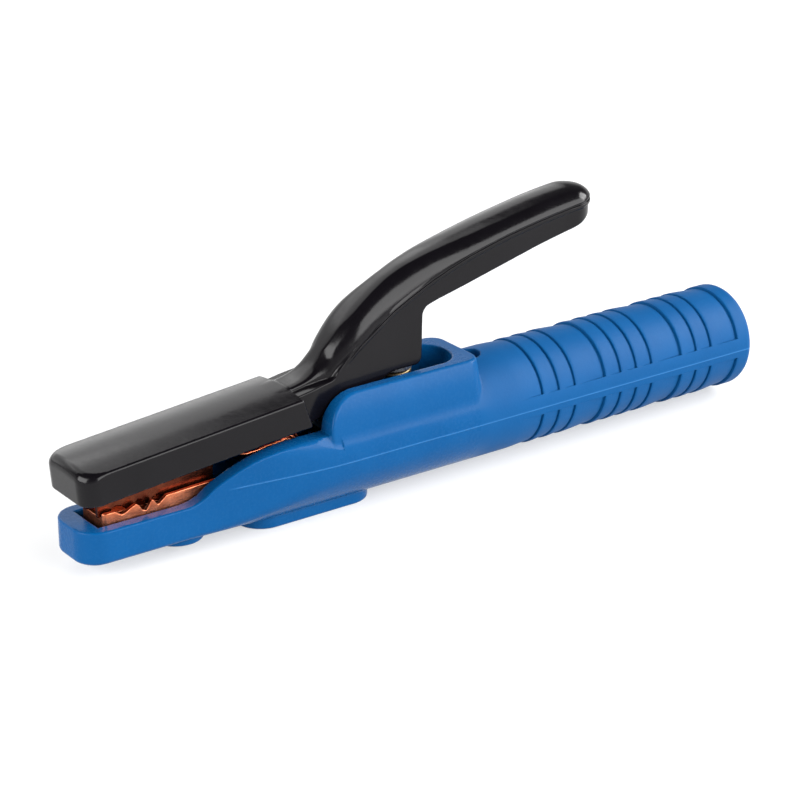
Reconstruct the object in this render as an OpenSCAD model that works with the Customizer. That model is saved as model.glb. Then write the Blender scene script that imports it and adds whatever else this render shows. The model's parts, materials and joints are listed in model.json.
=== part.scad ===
// Welding electrode holder: sprung jaw lever on a moulded grip body.
// Working frame: X along the grip towards the cable, Y across, Z up, with the grip's axis on the X line.
// place() moves the finished pieces so that the part's origin is at the middle of its footprint.

/* [Grip] */
// Outer radius of the round grip
grip_r = 17.5; // [17.3:0.1:17.8]
// Radius of the cable bore through the grip
grip_bore_r = 13.5; // [13.2:0.1:13.8]
// Rear face of the grip
grip_rear_x = 77.3; // [76:0.1:79]
// Rounding of the grip's rear rim
grip_rim_r = 3; // [2:0.5:3.5]
// Depth of the short finger ramps
ramp_depth = 0.45; // [0.3:0.05:0.6]
// Depth of the long ramps between the rib groups
long_ramp_depth = 1.2; // [0.8:0.1:1.4]
// Distance between ribs in a group
rib_pitch = 6.67; // [6.5:0.01:6.8]

/* [Front arm] */
// Front face of the arm
arm_front_x = -178.9; // [-182:0.1:-177]
// Half the arm's width
arm_half_w = 11.3; // [11:0.1:12]
// Underside of the arm
arm_bottom_z = -13.8; // [-14.2:0.1:-13.6]
// Top of the low rim round the jaw trough
arm_rim_z = -3; // [-3.6:0.2:-2.6]
// Upright corner radius of the arm's nose
arm_corner_r = 8; // [6:0.5:9]
// Half the width of the trough that holds the lower jaw
trough_half_w = 7; // [6.9:0.1:7.2]

/* [Pivot box] */
// Top face of the box
box_top_z = 20.6; // [20:0.2:21.4]
// Half the box's width at its top
box_half_w = 12.5; // [12:0.1:13]
// Half the width of the well inside the box
well_half_w = 8.8; // [8.6:0.1:9.2]
// Rear wall of the well
well_rear_x = -40.9; // [-41.5:0.1:-40.5]

/* [Jaws and lever] */
// Pivot pin position along the holder
pivot_x = -82; // [-82.5:0.5:-81.5]
// Pivot pin height over the grip axis
pivot_z = 4; // [3.8:0.1:4.2]
// Pivot pin radius
pin_r = 2.5; // [2.4:0.05:2.6]
// Half the jaw cover's width
cover_half_w = 12.5; // [12:0.1:12.8]
// Upward tilt of the jaw cover towards the pivot, in degrees
cover_tilt = 5.1; // [4.9:0.1:5.3]
// Half the width of the lever's rounded band
band_half_w = 9.2; // [8.8:0.1:9.6]
// Half the width of the lever's web
web_half_w = 8; // [7.6:0.1:8.2]

/* [Cable clamp] */
// Bore of the brass cable socket
socket_bore_r = 6.5; // [6:0.1:6.8]
// Outside radius of the cable socket
socket_r = 11; // [10.6:0.1:11.2]
// Clamp screw radius
clamp_screw_r = 4; // [3.8:0.1:4.2]

/* [Hidden] */
$fn = 64;
eps = 0.01;
over = 1;
running_gap = 0.05;

// Where the finished part stands
pad_bottom_z = -19;

// Grip ribs: first wall and number of walls in each group, and the plain bands on the mould line
rib_groups = [[-13.9, 3], [12.1, 4], [45.1, 3], [70.3, 1]];
first_ramp = 9;
band_low_z = -2.4;
band_high_z = 4.4;
grip_front_x = -41;
rib_land = 0.8;
group_land = 1;
grip_bore_front_x = -38;
chamber_rear_x = -6;
chamber_r = 14.1;
bore_chamfer = 1;

// Body outline
arm_taper_x = -150;
arm_full_x = -84;
belly_start_x = -142;
belly_end_x = -88;
rim_curve = [[-144.5, arm_rim_z], [-137, arm_rim_z], [-128, 9.3], [-104, 9.3]];
shoulder_z = 9.3;
body_end_x = -37;
floor_z = -12;
well_floor_z = -8;
trough_front_x = -172.3;
well_open_x = -112;
well_rear_r = 8.2;

// Box outline
box_rear_x = -35.8;
box_rear_r = 5;
box_front_x = -95;
box_nose_r = 11;
box_foot = [-93.5, 5];
box_foot_half_w = 15.7;
box_foot_z = 7.7;
box_edge = 0.85;

// Pad, boss and the screws in them
pad_x = -97;
pad_length = 47;
pad_half_w = 9;
boss_x = -142;
boss_r = 8.5;
boss_bottom_z = -16.6;
body_screw_x = [-111, -83];
m4_r = 2;
m4_hole_r = 2.1;
m4_head_r = 3.6;
counterbore_r = 4.1;
body_head_seat_z = -15.8;
boss_head_seat_z = -14;
m4_head = 2.5;
body_screw_tip_z = -8.4;
jaw_screw_tip_z = -1.2;
jaw_nut_r = 4;
jaw_nut_h = 3.2;
access_x = -31.6;
access_r = 3.6;

// Metalwork on the base bar
bar_front_x = -168;
bar_rear_x = -8;
bar_half_w = 6;
jaw_front_x = -170.2;
jaw_rear_x = -131;
jaw_sheet = 1.4;
lower_jaw_half_w = 6.7;
lower_jaw_top_z = 0.8;
upper_jaw_half_w = 4.9;
upper_jaw_low_z = -1.6;
notch_x = [-164.6, -157, -150.8];
notch_width = [4.6, 4.2, 5];
notch_depth = 2.4;
notch_half_bottom = 0.4;
jaw_base_z = 7.2;
arm_slope = tan(cover_tilt);
core_straight_x = -106;
upper_rivet_x = [-160.8, boss_x];
upper_jaw_overhang = 0.6;

// Clamp screw, backed off so that the socket's bore is clear
clamp_shoe_top_z = 8.4;
clamp_shoe_h = 1.8;
clamp_screw_top_z = 13;
clamp_hex_r = 2.3;
clamp_hex_depth = 3;

// Fork, pin and bush
ear_in = 4.5;
ear_out = 6.4;
ear_r = 5.2;
fork_half_l = 8;
fork_base = 2;
fork_rivet_dx = 5;
rivet_r = 1.5;
rivet_head_r = 2.6;
rivet_head = 1;
rivet_grip = 2.6;
pin_half_l = 8;
clip_in = 6.5;
clip_out = 7.3;
clip_r = 4;
washer_in = 4.1;
washer_r = 4.6;
bush_r = 3.6;
core_half_w = 4;
eye_r = 5;
core_front = [-98, 12];
core_rear = [[-73.5, 20], [-66, 36], [-56, 43], [-58, 48.6], [-72, 43.2], [-81.5, 35.4], [-89, 26], [-94.5, 20.6]];
core_back_x = -104;
core_thick = 3.2;
core_gap = 0.05;
core_drill_z = 30;

// Spring
spring_x = -61.5;
spring_low_z = -6.5;
spring_high_z = 19.9;
spring_coil_r = 5.1;
spring_wire_r = 0.75;
spring_turns = 7;
seat_r = 6.3;
seat_spigot_r = 3.6;
seat_spigot = 3.5;
cap_r = 5.9;

// Shunt
shunt_half_w = 4;
shunt_loop_x = -108;
shunt_loop_z = 2.6;
shunt_loop_r = 8.6;
shunt_thick = 1.8;
shunt_end_x = -117.4;
lug_half_w = 4.5;
lug = 2;
lug_half_l = 5.5;
lug_x = -120;
lug_screw_x = -121.4;
lower_lug_head_r = 3.4;
lug_head = 2.2;
cover_screw_x = [-128.2, -109];
cover_screw_head = 2;
cover_screw_length = 8;
m3_r = 1.5;
m3_hole_r = 1.7;
m3_length = 5;
m3_head_r = 2.6;

// Lever shell outline
cover_front_x = -178.6;
cover_front_z = 5.7;
cover_side = 10.2;
cover_crown = 1.6;
cover_corner_r = 5.5;
cover_wall = 3;
cover_rear = 79;
cover_rear_lean = 3;
cover_nose_r = 3;
cover_roof = 2.6;
cover_slot = 0.1;
cover_top_lean = 1.6;
cover_edge_drop = 1.8;
hollow_drop = 4.2;
crest = [[-100.4, 24.1], [-89.6, 25.1], [-89.5, 49.4], [-45, 58.3]];
neck_front_x = -108;
neck_low = [[-76, 15.2], [-88, 14.2], [-98.4, 12.4]];
crest_end = [4.5, 67];
tip_r = 5.8;
tip_x = 14.6;
tip_drop = 0.4;
band_depth = 5;
crown_depth = 2.2;
crown_half_w = 6.4;
band_shift = 0.35;
under_front = [-52.5, 41.2];
under_rear = [9, 55.2];
web_rear = [[-55.9, 38], [-55.5, 24.5], [-56.4, 21.5]];
web_bottom_z = 21.5;
cap_land = 0.4;

// The part's origin is at the middle of its length
lever_front_x = cover_front_x - cover_nose_r * (1 - cos(cover_tilt))
    - (cover_side + cover_crown - cover_nose_r) * sin(cover_tilt);
centre_x = (grip_rear_x + min(arm_front_x, lever_front_x)) / 2;

// ---------- helpers ----------

function ease(t) = t * t * (3 - 2 * t);
function between(a, b, t) = a + (b - a) * min(max(t, 0), 1);
function bezier(p, t) =
    pow(1 - t, 3) * p[0] + 3 * pow(1 - t, 2) * t * p[1] + 3 * (1 - t) * t * t * p[2] + pow(t, 3) * p[3];
function curve(p, n) = [for (i = [0:n]) bezier(p, i / n)];
function arc(c, r, a, b, n) = [for (i = [0:n]) c + r * [cos(a + (b - a) * i / n), sin(a + (b - a) * i / n)]];
function flipped(points) = [for (i = [len(points) - 1:-1:0]) [points[i][0], -points[i][1]]];

// Half width of the body and of its trough, and its belly height, at a place along the holder
function body_half_w(x) =
    between(arm_half_w, grip_r, ease(between(0, 1, (x - arm_taper_x) / (arm_full_x - arm_taper_x))));
function trough_w(x) =
    between(trough_half_w, well_half_w, ease(between(0, 1, (x - belly_start_x) / (well_open_x - belly_start_x))));
function belly_z(x) =
    between(arm_bottom_z, -grip_r, ease(between(0, 1, (x - belly_start_x) / (belly_end_x - belly_start_x))));

// Height of the upper jaw's back at a place along the holder
function jaw_back_z(x) = jaw_base_z + (x - jaw_front_x) * arm_slope;
function core_low_z(x) = jaw_back_z(x) + jaw_sheet;

// Moves a piece from the working frame to the part's frame
module place()
    translate([-centre_x, 0, -pad_bottom_z])
        children();

// Turns a shape drawn as [x, z] into a slab from -half_w to half_w across the holder
module slab(half_w)
    rotate([90, 0, 0])
        linear_extrude(2 * half_w, center = true)
            children();

// Turns a shape drawn as [y, z] into a bar from x0 to x1
module bar_along(x0, x1)
    translate([x0, 0, 0])
        rotate([90, 0, 90])
            linear_extrude(x1 - x0)
                children();

// Turns a half section drawn as [radius, x] about the grip's axis
module turned()
    rotate([0, 90, 0])
        rotate_extrude($fn = 128)
            children();

module block(x0, x1, half_w, z0, z1)
    translate([x0, -half_w, z0])
        cube([x1 - x0, 2 * half_w, z1 - z0]);

module post(x, z0, z1, r, y = 0)
    translate([x, y, z0])
        cylinder(h = z1 - z0, r = r);

// Round bar across the holder at the pivot
module across(y0, y1, r)
    translate([pivot_x, y0, pivot_z])
        rotate([-90, 0, 0])
            cylinder(h = y1 - y0, r = r);

// The same round bar on both sides of the middle, from y0 out to y1
module pair_across(y0, y1, r) {
    across(y0, y1, r);
    across(-y1, -y0, r);
}

// Screw with a pan head at its low end
module screw_up(x, head_z, head_h, tip_z, r, head_r)
    difference() {
        union() {
            post(x, head_z, head_z + head_h, head_r);
            post(x, head_z + head_h - eps, tip_z, r);
        }
        translate([x, 0, head_z - eps])
            cylinder(h = head_h * 0.6, r = r * 0.75, $fn = 6);
    }

// ---------- body shell ----------

module plan_blank() {
    corner = [arm_front_x + arm_corner_r, arm_half_w - arm_corner_r];
    side = concat(
        arc(corner, arm_corner_r, 180, 90, 12),
        [for (x = [arm_taper_x:3:arm_full_x]) [x, body_half_w(x)]],
        [[body_end_x, grip_r]]
    );
    translate([0, 0, -grip_r - over])
        linear_extrude(2 * grip_r + 2 * over)
            polygon(concat(side, flipped(side)));
}

module side_blank() {
    top = concat([[arm_front_x, arm_rim_z]], curve(rim_curve, 16), [[body_end_x, shoulder_z]]);
    bottom = [for (x = [belly_end_x:-3:belly_start_x]) [x, belly_z(x)]];
    slab(grip_r + over)
        polygon(concat(top, [[body_end_x, -grip_r]], bottom, [[arm_front_x, arm_bottom_z]]));
}

module round_blank()
    translate([arm_front_x - over, 0, 0])
        rotate([0, 90, 0])
            cylinder(h = body_end_x - arm_front_x + over, r = grip_r, $fn = 128);

module front_body()
    intersection() {
        plan_blank();
        side_blank();
        round_blank();
    }

// One finger ramp: the surface sinks towards the cable end and ends at a wall
module ramp(x0, x1, depth)
    turned()
        polygon([[grip_r, x0], [grip_r - depth, x1], [grip_r + over, x1], [grip_r + over, x0]]);

module ramps() {
    for (g = [0:len(rib_groups) - 1]) {
        start = rib_groups[g][0];
        last = g == 0 ? start - first_ramp : rib_groups[g - 1][0] + (rib_groups[g - 1][1] - 1) * rib_pitch;
        ramp(last + group_land, start, g == 0 ? ramp_depth : long_ramp_depth);
        for (i = [1:1:rib_groups[g][1] - 1])
            ramp(start + (i - 1) * rib_pitch + rib_land, start + i * rib_pitch, ramp_depth);
    }
}

module grip() {
    rim = arc([grip_r - grip_rim_r, grip_rear_x - grip_rim_r], grip_rim_r, 0, 90, 8);
    difference() {
        turned()
            polygon(concat([[0, grip_front_x], [grip_r, grip_front_x]], rim, [[0, grip_rear_x]]));
        difference() {
            ramps();
            block(grip_front_x, grip_rear_x, grip_r + 2 * over, band_low_z, band_high_z);
        }
    }
}

module pivot_box() {
    half = [
        [box_foot_half_w, -over],
        [box_foot_half_w, box_foot_z],
        [(box_foot_half_w + box_half_w) / 2 + 0.5, (box_foot_z + box_top_z) / 2],
        [box_half_w, box_top_z - box_edge],
        [box_half_w - box_edge, box_top_z]
    ];
    mirrored = [for (i = [len(half) - 1:-1:0]) [-half[i][0], half[i][1]]];
    nose = arc([box_front_x + box_nose_r, box_top_z - box_nose_r], box_nose_r, 180, 90, 12);
    corner = arc([box_rear_x - box_rear_r, box_foot_half_w - box_rear_r], box_rear_r, 90, 0, 8);
    intersection() {
        bar_along(box_front_x - over, box_rear_x)
            polygon(concat(half, mirrored));
        slab(grip_r)
            polygon(concat([box_foot], nose, [[box_rear_x, box_top_z], [box_rear_x, -over], [box_foot[0], -over]]));
        translate([0, 0, -over])
            linear_extrude(box_top_z + 2 * over)
                polygon(concat(
                    [[box_front_x - over, box_foot_half_w]], corner, flipped(corner),
                    [[box_front_x - over, -box_foot_half_w]]
                ));
    }
}

module pad_blank()
    translate([pad_x, 0, pad_bottom_z])
        linear_extrude(floor_z - over / 2 - pad_bottom_z)
            union() {
                square([pad_length - 2 * pad_half_w, 2 * pad_half_w], center = true);
                for (s = [-1, 1])
                    translate([s * (pad_length / 2 - pad_half_w), 0])
                        circle(r = pad_half_w);
            }

// Everything that is open from above: the jaw trough, the lever well and the slot under them
module wells() {
    side = concat(
        [[trough_front_x, trough_half_w]],
        [for (x = [belly_start_x:3:well_open_x]) [x, trough_w(x)]],
        arc([well_rear_x - well_rear_r, well_half_w - well_rear_r], well_rear_r, 90, 0, 10)
    );
    translate([0, 0, well_floor_z])
        linear_extrude(box_top_z - well_floor_z + over)
            polygon(concat(side, flipped(side)));
    block(trough_front_x, grip_bore_front_x + over, trough_half_w, floor_z, well_floor_z + eps);
}

module bores() {
    turned()
        polygon([
            [0, grip_bore_front_x], [chamber_r, grip_bore_front_x], [chamber_r, chamber_rear_x],
            [grip_bore_r, chamber_rear_x], [grip_bore_r, grip_rear_x - bore_chamfer],
            [grip_bore_r + bore_chamfer + over, grip_rear_x + over], [0, grip_rear_x + over]
        ]);
    post(access_x, 0, grip_r + over, access_r);
    for (x = body_screw_x) {
        post(x, pad_bottom_z - over, body_head_seat_z, counterbore_r);
        post(x, pad_bottom_z - over, floor_z + over, m4_hole_r);
    }
    post(boss_x, boss_bottom_z - over, boss_head_seat_z, counterbore_r);
    post(boss_x, boss_bottom_z - over, floor_z + over, m4_hole_r);
}

module body_shell()
    color("RoyalBlue")
        place()
            difference() {
                union() {
                    front_body();
                    grip();
                    pivot_box();
                    pad_blank();
                    post(boss_x, boss_bottom_z, arm_bottom_z + over, boss_r);
                }
                wells();
                bores();
            }

module body_screws()
    color("Silver")
        place()
            for (x = body_screw_x)
                screw_up(x, body_head_seat_z - m4_head, m4_head, body_screw_tip_z, m4_r, m4_head_r);

module jaw_screw()
    color("Silver")
        place()
            screw_up(boss_x, boss_head_seat_z - m4_head, m4_head, jaw_screw_tip_z, m4_r, m4_head_r);

module jaw_nut()
    color("Silver")
        place()
            difference() {
                translate([boss_x, 0, well_floor_z + jaw_sheet])
                    cylinder(h = jaw_nut_h, r = jaw_nut_r, $fn = 6);
                post(boss_x, well_floor_z, 0, m4_r);
            }

// ---------- base bar and what it carries ----------

module base_bar()
    color("Goldenrod")
        place()
            difference() {
                block(bar_front_x, bar_rear_x, bar_half_w, floor_z, well_floor_z);
                for (x = concat(body_screw_x, [boss_x, lug_screw_x]))
                    post(x, floor_z - over, well_floor_z + over, m4_r);
                for (s = [-1, 1])
                    post(pivot_x + s * fork_rivet_dx, floor_z - over, well_floor_z + over, rivet_r);
            }

// Notches that seat the electrode, cut down into a jaw edge from edge_z by way
module notches(edge_z, way)
    for (i = [0:len(notch_x) - 1])
        polygon([
            [notch_x[i] - notch_width[i] / 2, edge_z],
            [notch_x[i] - notch_width[i] / 2, edge_z - way * over],
            [notch_x[i] + notch_width[i] / 2, edge_z - way * over],
            [notch_x[i] + notch_width[i] / 2, edge_z],
            [notch_x[i] + notch_half_bottom, edge_z + way * notch_depth],
            [notch_x[i] - notch_half_bottom, edge_z + way * notch_depth]
        ]);

module lower_jaw()
    color("Peru")
        place()
            difference() {
                slab(lower_jaw_half_w)
                    difference() {
                        translate([jaw_front_x, well_floor_z])
                            square([jaw_rear_x - jaw_front_x, lower_jaw_top_z - well_floor_z]);
                        notches(lower_jaw_top_z, -1);
                    }
                block(
                    jaw_front_x - over, jaw_rear_x + over, lower_jaw_half_w - jaw_sheet,
                    well_floor_z + jaw_sheet, lower_jaw_top_z + over
                );
                post(boss_x, well_floor_z - over, 0, m4_r);
            }

module pivot_fork()
    color("Goldenrod")
        place()
            difference() {
                slab(ear_out)
                    union() {
                        polygon([
                            [pivot_x - fork_half_l, well_floor_z], [pivot_x + fork_half_l, well_floor_z],
                            [pivot_x + ear_r, pivot_z], [pivot_x - ear_r, pivot_z]
                        ]);
                        translate([pivot_x, pivot_z])
                            circle(r = ear_r);
                    }
                block(
                    pivot_x - fork_half_l - over, pivot_x + fork_half_l + over, ear_in,
                    well_floor_z + fork_base, pivot_z + ear_r + over
                );
                across(-pin_half_l, pin_half_l, pin_r + running_gap);
                for (s = [-1, 1])
                    post(pivot_x + s * fork_rivet_dx, well_floor_z - over, pivot_z, rivet_r);
            }

module fork_rivets()
    color("Silver")
        place()
            for (s = [-1, 1]) {
                post(pivot_x + s * fork_rivet_dx, floor_z, well_floor_z + fork_base + eps, rivet_r);
                post(
                    pivot_x + s * fork_rivet_dx, well_floor_z + fork_base,
                    well_floor_z + fork_base + rivet_head, rivet_head_r
                );
            }

module pivot_pin()
    color("Silver")
        place()
            across(-pin_half_l, pin_half_l, pin_r);

module pin_clips()
    color("DimGray")
        place()
            difference() {
                pair_across(clip_in, clip_out, clip_r);
                across(-pin_half_l, pin_half_l, pin_r);
            }

module pivot_washers()
    color("Tan")
        place()
            difference() {
                pair_across(washer_in, ear_in, washer_r);
                across(-pin_half_l, pin_half_l, pin_r + running_gap);
            }

module spring_seat()
    color("Silver")
        place()
            union() {
                post(spring_x, well_floor_z, spring_low_z, seat_r);
                post(spring_x, spring_low_z - eps, spring_low_z + seat_spigot, seat_spigot_r);
            }

// Coil: the level cut through a round wire, carried round and up by the twist
module lever_spring() {
    height = spring_high_z - spring_low_z - 2 * spring_wire_r;
    pitch = height / spring_turns;
    reach = 360 * spring_wire_r / pitch;
    cut = [for (i = [-4:4]) [reach * i / 4, spring_wire_r * sqrt(1 - pow(i / 4, 2))]];
    outer = [for (c = cut) (spring_coil_r + c[1]) * [cos(c[0]), sin(c[0])]];
    inner = [for (i = [3:-1:-3]) (spring_coil_r - cut[i + 4][1]) * [cos(cut[i + 4][0]), sin(cut[i + 4][0])]];
    color("Silver")
        place()
            translate([spring_x, 0, spring_low_z + spring_wire_r])
                linear_extrude(height, twist = -360 * spring_turns, slices = 20 * spring_turns, $fn = 8)
                    polygon(concat(outer, inner));
}

module cable_socket()
    color("Goldenrod")
        place()
            difference() {
                translate([grip_bore_front_x + 0.5, 0, 0])
                    rotate([0, 90, 0])
                        cylinder(h = bar_rear_x - grip_bore_front_x - 0.5, r = socket_r);
                block(grip_bore_front_x, bar_rear_x + over, socket_r, -socket_r - over, well_floor_z);
                translate([grip_bore_front_x, 0, 0])
                    rotate([0, 90, 0])
                        cylinder(h = bar_rear_x - grip_bore_front_x + over, r = socket_bore_r);
                post(access_x, 0, socket_r + over, clamp_screw_r + running_gap);
            }

module clamp_screw()
    color("DimGray")
        place()
            difference() {
                post(access_x, clamp_shoe_top_z, clamp_screw_top_z, clamp_screw_r);
                translate([access_x, 0, clamp_screw_top_z - clamp_hex_depth])
                    cylinder(h = clamp_hex_depth + over, r = clamp_hex_r, $fn = 6);
            }

module clamp_shoe()
    color("Goldenrod")
        place()
            post(access_x, clamp_shoe_top_z - clamp_shoe_h, clamp_shoe_top_z, clamp_screw_r - 0.5);

// ---------- shunt ----------

module lower_lug()
    color("Peru")
        place()
            difference() {
                block(lug_x - lug_half_l, lug_x + lug_half_l, lug_half_w, well_floor_z, well_floor_z + lug);
                post(lug_screw_x, floor_z, 0, m4_r);
            }

module lower_lug_screw()
    color("Silver")
        place()
            union() {
                post(lug_screw_x, floor_z, well_floor_z + lug + eps, m4_r);
                post(lug_screw_x, well_floor_z + lug, well_floor_z + lug + lug_head, lower_lug_head_r);
            }

module shunt()
    color("Peru")
        place()
            slab(shunt_half_w)
                difference() {
                    union() {
                        translate([shunt_loop_x, shunt_loop_z])
                            circle(r = shunt_loop_r);
                        translate([shunt_end_x, shunt_loop_z - shunt_loop_r])
                            square([shunt_loop_x - shunt_end_x, 2 * shunt_loop_r]);
                    }
                    translate([shunt_loop_x, shunt_loop_z])
                        circle(r = shunt_loop_r - shunt_thick);
                    translate([shunt_end_x - over, shunt_loop_z - shunt_loop_r + shunt_thick])
                        square([shunt_loop_x - shunt_end_x + over, 2 * (shunt_loop_r - shunt_thick)]);
                }

module upper_lug()
    color("Peru")
        place()
            difference() {
                block(
                    lug_x - lug_half_l, lug_x + lug_half_l, lug_half_w,
                    shunt_loop_z + shunt_loop_r, core_low_z(lug_x - lug_half_l)
                );
                post(lug_screw_x, 0, core_drill_z, m3_r);
            }

module upper_lug_screw() {
    low = shunt_loop_z + shunt_loop_r;
    color("Silver")
        place()
            union() {
                post(lug_screw_x, low - lug_head, low, m3_head_r);
                post(lug_screw_x, low - eps, low + m3_length, m3_r);
            }
}

// ---------- lever ----------

// Steel core: one plate from the jaw, past the pivot eye, up into the lever
module core_outline() {
    front = bar_front_x;
    polygon(concat(
        [for (x = [front, core_straight_x]) [x, core_low_z(x)]],
        [
            core_front, [pivot_x - eye_r, pivot_z], [pivot_x + eye_r, pivot_z]
        ],
        core_rear,
        [for (x = [core_back_x, front]) [x, core_low_z(x) + core_thick]]
    ));
    translate([pivot_x, pivot_z])
        circle(r = eye_r);
}

module upper_arm()
    color("Gray")
        place()
            difference() {
                slab(core_half_w)
                    core_outline();
                across(-pin_half_l, pin_half_l, bush_r);
                for (x = cover_screw_x)
                    post(x, 0, core_drill_z, m3_hole_r);
                for (x = upper_rivet_x)
                    post(x, 0, core_drill_z, rivet_r);
                post(lug_screw_x, 0, shunt_loop_z + shunt_loop_r + m3_length, m3_r);
            }

module pivot_bush()
    color("DarkGoldenrod")
        place()
            difference() {
                across(-core_half_w, core_half_w, bush_r);
                across(-pin_half_l, pin_half_l, pin_r + running_gap);
            }

module upper_jaw() {
    front = jaw_front_x - upper_jaw_overhang;
    color("Peru")
        place()
            difference() {
                slab(upper_jaw_half_w)
                    difference() {
                        polygon([
                            [front, upper_jaw_low_z], [jaw_rear_x, upper_jaw_low_z],
                            [jaw_rear_x, jaw_back_z(jaw_rear_x) + jaw_sheet],
                            [front, jaw_back_z(front) + jaw_sheet]
                        ]);
                        notches(upper_jaw_low_z, 1);
                    }
                slab(upper_jaw_half_w - jaw_sheet)
                    polygon([
                        [front - over, upper_jaw_low_z - over], [jaw_rear_x + over, upper_jaw_low_z - over],
                        [jaw_rear_x + over, jaw_back_z(jaw_rear_x + over)], [front - over, jaw_back_z(front - over)]
                    ]);
                for (x = upper_rivet_x)
                    post(x, 0, core_drill_z, rivet_r);
            }
}

module upper_jaw_rivets()
    color("Silver")
        place()
            for (x = upper_rivet_x) {
                seat = jaw_back_z(x - rivet_head_r);
                post(x, seat - rivet_head, seat, rivet_head_r);
                post(x, seat - eps, core_low_z(x) + rivet_grip, rivet_r);
            }

module cover_screws()
    color("Silver")
        place()
            for (x = cover_screw_x) {
                seat = core_low_z(x - m3_head_r);
                screw_up(x, seat - cover_screw_head, cover_screw_head, seat + cover_screw_length, m3_r, m3_head_r);
            }

module spring_cap()
    color("Silver")
        place()
            union() {
                post(spring_x, spring_high_z, web_bottom_z, cap_r);
                post(spring_x, spring_high_z - seat_spigot, spring_high_z + eps, seat_spigot_r);
            }

// Jaw cover, drawn in its own tilted frame with x from the front face
module cover_frame()
    translate([cover_front_x, 0, cover_front_z])
        rotate([0, -cover_tilt, 0])
            children();

module cover_blank() {
    crown_r = (pow(cover_half_w, 2) + pow(cover_crown, 2)) / (2 * cover_crown);
    lean = asin((cover_half_w - cover_top_lean) / crown_r);
    top = arc([0, cover_side + cover_crown - crown_r], crown_r, 90 - lean, 90 + lean, 12);
    corner = arc([cover_corner_r, cover_half_w - cover_corner_r], cover_corner_r, 180, 90, 8);
    cover_frame()
        intersection() {
            bar_along(0, cover_rear)
                polygon(concat(
                    [[-cover_half_w, 0], [cover_half_w, 0], [cover_half_w, cover_side - cover_edge_drop]], top,
                    [[-cover_half_w, cover_side - cover_edge_drop]]
                ));
            linear_extrude(cover_side + cover_crown + over)
                polygon(concat(
                    corner, [[cover_rear, cover_half_w], [cover_rear, -cover_half_w]], flipped(corner)
                ));
            slab(cover_half_w + over)
                polygon(concat(
                    [[0, 0]],
                    arc([cover_nose_r, cover_side + cover_crown - cover_nose_r], cover_nose_r, 180, 90, 6),
                    [[cover_rear - 2 * cover_rear_lean, cover_side + cover_crown], [cover_rear, 0]]
                ));
        }
}

module cover_hollow()
    cover_frame() {
        block(cover_wall, cover_rear - cover_wall, cover_half_w - cover_wall, -over, cover_side - hollow_drop);
        block(cover_wall, cover_rear, core_half_w + cover_slot, -over, cover_side + cover_crown - cover_roof);
    }

function lever_outline() = concat(
    [[neck_front_x, crest[0][1] - (crest[0][0] - neck_front_x) * arm_slope]],
    curve(crest, 20),
    [crest_end],
    arc([tip_x - tip_r, crest_end[1] - tip_r - tip_drop], tip_r, 60, -70, 8),
    [under_rear, under_front],
    web_rear,
    [[spring_x - cap_r - cap_land, web_bottom_z]],
    neck_low,
    [[neck_front_x, neck_low[2][1]]]
);

// The lever's outline brought down by a depth, so that a slab over it is the rounded band
module band_outline(from, to) {
    ridge = concat(curve(crest, 20), [crest_end]);
    high = [for (p = ridge) p + from * [band_shift, -1]];
    low = [for (i = [len(ridge) - 1:-1:0]) ridge[i] + to * [band_shift, -1]];
    tip = arc([tip_x - tip_r, crest_end[1] - tip_r - tip_drop], tip_r - from, 40, -20, 6);
    polygon(concat(high, tip, low));
}

// Rounded end of the lever, seen from above
module tip_plan(half_w)
    translate([0, 0, -over])
        linear_extrude(crest_end[1] + 2 * over)
            union() {
                translate([neck_front_x, -half_w])
                    square([tip_x - neck_front_x - half_w, 2 * half_w]);
                translate([tip_x - half_w, 0])
                    circle(r = half_w);
            }

module lever_shell()
    color("DimGray")
        place()
            difference() {
                union() {
                    cover_blank();
                    intersection() {
                        union() {
                            slab(crown_half_w)
                                polygon(lever_outline());
                            slab(band_half_w)
                                band_outline(crown_depth, crown_depth + band_depth);
                            slab(web_half_w)
                                intersection() {
                                    polygon(lever_outline());
                                    translate([0, -crown_depth])
                                        polygon(lever_outline());
                                }
                        }
                        tip_plan(band_half_w);
                    }
                }
                cover_hollow();
                slab(core_half_w + core_gap)
                    core_outline();
                for (x = cover_screw_x)
                    post(x, 0, core_low_z(x - m3_head_r) + cover_screw_length, m3_r);
            }

body_shell();
body_screws();
jaw_screw();
jaw_nut();
base_bar();
lower_jaw();
pivot_fork();
fork_rivets();
pivot_pin();
pin_clips();
pivot_washers();
spring_seat();
lever_spring();
cable_socket();
clamp_screw();
clamp_shoe();
lower_lug();
lower_lug_screw();
shunt();
lever_shell();
upper_arm();
pivot_bush();
upper_jaw();
upper_jaw_rivets();
cover_screws();
spring_cap();
upper_lug();
upper_lug_screw();
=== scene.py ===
import json
import math

import bpy
import numpy as np
from mathutils import Matrix, Vector


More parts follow.
